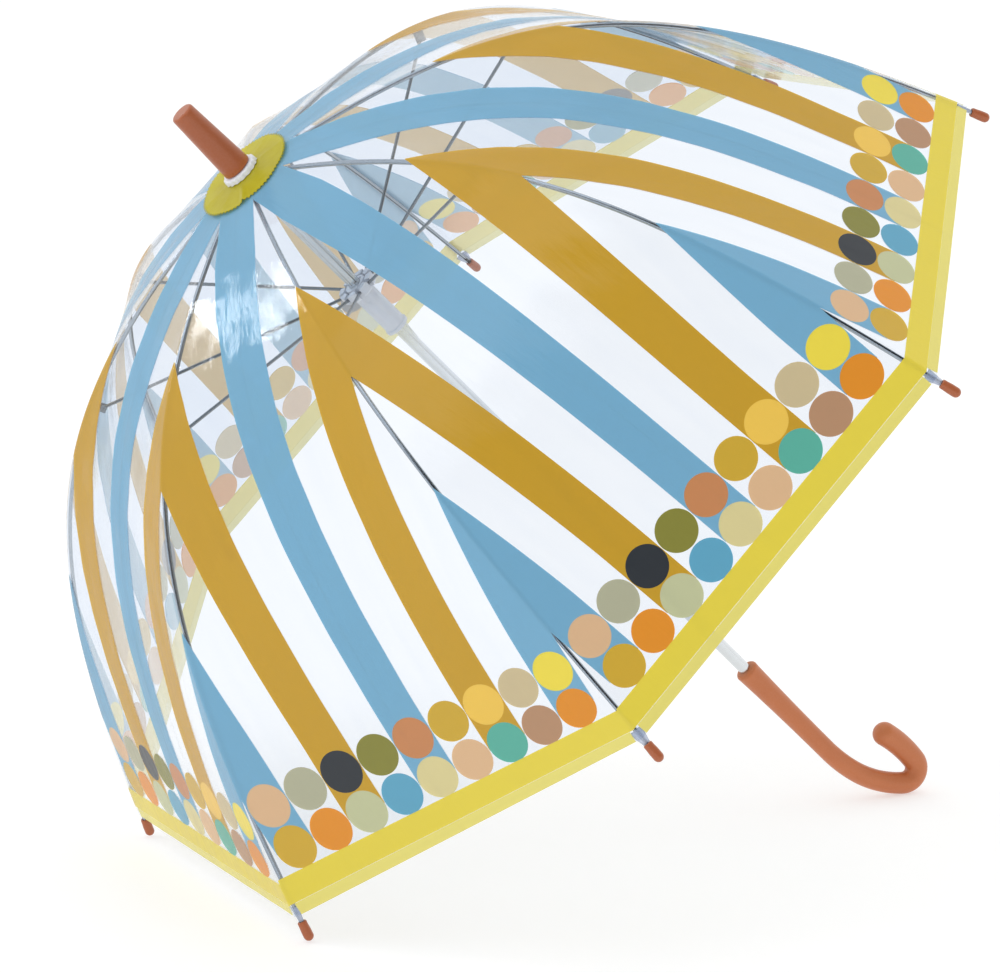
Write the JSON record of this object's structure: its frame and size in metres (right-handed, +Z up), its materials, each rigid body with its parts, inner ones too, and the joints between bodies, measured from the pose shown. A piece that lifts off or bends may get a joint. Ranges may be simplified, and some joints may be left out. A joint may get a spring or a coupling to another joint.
{
  "type": "children's umbrella",
  "caption": "Clear dome umbrella for a child: straight stick, hook handle, folding ribs with stretchers on a sliding runner, printed film canopy.",
  "frame": {"origin": "middle of the box's underside: the umbrella lies open on the tips of ribs 4 and 5 and on the bend of its hook, on the floor Z = 0", "axes": "+Z up; the shaft lies in the plane Y = 0, with the ferrule up towards -X and the handle down towards +X; +Y across the umbrella"},
  "size_m": [0.5688, 0.6596, 0.5309],
  "materials": {
    "terracotta_plastic": "satin",
    "bright_steel": "polished",
    "rib_steel": "satin",
    "dark_steel": "satin",
    "white_plastic": "gloss",
    "yellow_film": "gloss",
    "printed_film": "gloss"
  },
  "bodies": {
    "shaft": {"shaft_tube": "bright_steel", "stop_pin": "bright_steel", "ferrule": "terracotta_plastic", "crown_ring": "white_plastic", "crown_rosette": "yellow_film", "top_notch": "white_plastic", "notch_wire": "dark_steel", "handle": "terracotta_plastic"},
    "runner": {"runner": "white_plastic", "runner_wire": "dark_steel"},
    "top_catch": {"top_catch": "bright_steel"},
    "bottom_catch": {"bottom_catch": "bright_steel"},
    "rib_1": {"rib_1": "rib_steel", "rib_tip_1": "terracotta_plastic", "rib_joint_1": "dark_steel", "canopy_1": "printed_film"},
    "stretcher_1": {"stretcher_1": "rib_steel"},
    "rib_2": {"rib_2": "rib_steel", "rib_tip_2": "terracotta_plastic", "rib_joint_2": "dark_steel", "canopy_2": "printed_film"},
    "stretcher_2": {"stretcher_2": "rib_steel"},
    "rib_3": {"rib_3": "rib_steel", "rib_tip_3": "terracotta_plastic", "rib_joint_3": "dark_steel", "canopy_3": "printed_film"},
    "stretcher_3": {"stretcher_3": "rib_steel"},
    "rib_4": {"rib_4": "rib_steel", "rib_tip_4": "terracotta_plastic", "rib_joint_4": "dark_steel", "canopy_4": "printed_film"},
    "stretcher_4": {"stretcher_4": "rib_steel"},
    "rib_5": {"rib_5": "rib_steel", "rib_tip_5": "terracotta_plastic", "rib_joint_5": "dark_steel", "canopy_5": "printed_film"},
    "stretcher_5": {"stretcher_5": "rib_steel"},
    "rib_6": {"rib_6": "rib_steel", "rib_tip_6": "terracotta_plastic", "rib_joint_6": "dark_steel", "canopy_6": "printed_film"},
    "stretcher_6": {"stretcher_6": "rib_steel"},
    "rib_7": {"rib_7": "rib_steel", "rib_tip_7": "terracotta_plastic", "rib_joint_7": "dark_steel", "canopy_7": "printed_film"},
    "stretcher_7": {"stretcher_7": "rib_steel"},
    "rib_8": {"rib_8": "rib_steel", "rib_tip_8": "terracotta_plastic", "rib_joint_8": "dark_steel", "canopy_8": "printed_film"},
    "stretcher_8": {"stretcher_8": "rib_steel"}
  },
  "joints": [
    {"name": "runner_slide", "type": "slide", "parent": "shaft", "child": "runner", "axis": [0.7046, 0, -0.7096], "range_m": [0, 0.1999], "deforming": ["canopy_1", "canopy_2", "canopy_3", "canopy_4", "canopy_5", "canopy_6", "canopy_7", "canopy_8"]},
    {"name": "rib_1_hinge", "type": "hinge", "parent": "shaft", "child": "rib_1", "pos_m": [-0.18709, 0.00368, 0.44766], "axis": [-0.2716, 0.9239, -0.2696], "range_deg": [0, 48.05]},
    {"name": "stretcher_1_hinge", "type": "hinge", "parent": "rib_1", "child": "stretcher_1", "pos_m": [-0.04782, 0.0639, 0.51373], "axis": [-0.2716, 0.9239, -0.2696], "range_deg": [-96.1, 0]},
    {"name": "rib_2_hinge", "type": "hinge", "parent": "shaft", "child": "rib_2", "pos_m": [-0.19078, 0.00889, 0.44399], "axis": [-0.6556, 0.3827, -0.6509], "range_deg": [0, 48.05]},
    {"name": "stretcher_2_hinge", "type": "hinge", "parent": "rib_2", "child": "stretcher_2", "pos_m": [-0.11195, 0.15427, 0.45006], "axis": [-0.6556, 0.3827, -0.6509], "range_deg": [-96.1, 0]},
    {"name": "rib_3_hinge", "type": "hinge", "parent": "shaft", "child": "rib_3", "pos_m": [-0.196, 0.00889, 0.4388], "axis": [-0.6556, -0.3827, -0.6509], "range_deg": [0, 48.05]},
    {"name": "stretcher_3_hinge", "type": "hinge", "parent": "rib_3", "child": "stretcher_3", "pos_m": [-0.20264, 0.15427, 0.36002], "axis": [-0.6556, -0.3827, -0.6509], "range_deg": [-96.1, 0]},
    {"name": "rib_4_hinge", "type": "hinge", "parent": "shaft", "child": "rib_4", "pos_m": [-0.1997, 0.00368, 0.43513], "axis": [-0.2716, -0.9239, -0.2696], "range_deg": [0, 48.05]},
    {"name": "stretcher_4_hinge", "type": "hinge", "parent": "rib_4", "child": "stretcher_4", "pos_m": [-0.26677, 0.0639, 0.29634], "axis": [-0.2716, -0.9239, -0.2696], "range_deg": [-96.1, 0]},
    {"name": "rib_5_hinge", "type": "hinge", "parent": "shaft", "child": "rib_5", "pos_m": [-0.1997, -0.00368, 0.43513], "axis": [0.2716, -0.9239, 0.2696], "range_deg": [0, 48.05]},
    {"name": "stretcher_5_hinge", "type": "hinge", "parent": "rib_5", "child": "stretcher_5", "pos_m": [-0.26677, -0.0639, 0.29634], "axis": [0.2716, -0.9239, 0.2696], "range_deg": [-96.1, 0]},
    {"name": "rib_6_hinge", "type": "hinge", "parent": "shaft", "child": "rib_6", "pos_m": [-0.196, -0.00889, 0.4388], "axis": [0.6556, -0.3827, 0.6509], "range_deg": [0, 48.05]},
    {"name": "stretcher_6_hinge", "type": "hinge", "parent": "rib_6", "child": "stretcher_6", "pos_m": [-0.20264, -0.15427, 0.36002], "axis": [0.6556, -0.3827, 0.6509], "range_deg": [-96.1, 0]},
    {"name": "rib_7_hinge", "type": "hinge", "parent": "shaft", "child": "rib_7", "pos_m": [-0.19078, -0.00889, 0.44399], "axis": [0.6556, 0.3827, 0.6509], "range_deg": [0, 48.05]},
    {"name": "stretcher_7_hinge", "type": "hinge", "parent": "rib_7", "child": "stretcher_7", "pos_m": [-0.11195, -0.15427, 0.45006], "axis": [0.6556, 0.3827, 0.6509], "range_deg": [-96.1, 0]},
    {"name": "rib_8_hinge", "type": "hinge", "parent": "shaft", "child": "rib_8", "pos_m": [-0.18709, -0.00368, 0.44766], "axis": [0.2716, 0.9239, 0.2696], "range_deg": [0, 48.05]},
    {"name": "stretcher_8_hinge", "type": "hinge", "parent": "rib_8", "child": "stretcher_8", "pos_m": [-0.04782, -0.0639, 0.51373], "axis": [0.2716, 0.9239, 0.2696], "range_deg": [-96.1, 0]},
    {"name": "top_catch_press", "type": "slide", "parent": "shaft", "child": "top_catch", "axis": [-0.7096, 0, -0.7046], "range_m": [0, 0.0014], "stiffness_N_per_m": 300, "springref_m": -0.002},
    {"name": "bottom_catch_press", "type": "slide", "parent": "shaft", "child": "bottom_catch", "axis": [-0.7096, 0, -0.7046], "range_m": [0, 0.0014], "stiffness_N_per_m": 300, "springref_m": -0.002}
  ],
  "couplings": [
    {"joint": "rib_1_hinge", "follows": "runner_slide", "rad_per_m": 4.1891},
    {"joint": "stretcher_1_hinge", "follows": "runner_slide", "rad_per_m": -8.3782},
    {"joint": "rib_2_hinge", "follows": "runner_slide", "rad_per_m": 4.1891},
    {"joint": "stretcher_2_hinge", "follows": "runner_slide", "rad_per_m": -8.3782},
    {"joint": "rib_3_hinge", "follows": "runner_slide", "rad_per_m": 4.1891},
    {"joint": "stretcher_3_hinge", "follows": "runner_slide", "rad_per_m": -8.3782},
    {"joint": "rib_4_hinge", "follows": "runner_slide", "rad_per_m": 4.1891},
    {"joint": "stretcher_4_hinge", "follows": "runner_slide", "rad_per_m": -8.3782},
    {"joint": "rib_5_hinge", "follows": "runner_slide", "rad_per_m": 4.1891},
    {"joint": "stretcher_5_hinge", "follows": "runner_slide", "rad_per_m": -8.3782},
    {"joint": "rib_6_hinge", "follows": "runner_slide", "rad_per_m": 4.1891},
    {"joint": "stretcher_6_hinge", "follows": "runner_slide", "rad_per_m": -8.3782},
    {"joint": "rib_7_hinge", "follows": "runner_slide", "rad_per_m": 4.1891},
    {"joint": "stretcher_7_hinge", "follows": "runner_slide", "rad_per_m": -8.3782},
    {"joint": "rib_8_hinge", "follows": "runner_slide", "rad_per_m": 4.1891},
    {"joint": "stretcher_8_hinge", "follows": "runner_slide", "rad_per_m": -8.3782}
  ]
}
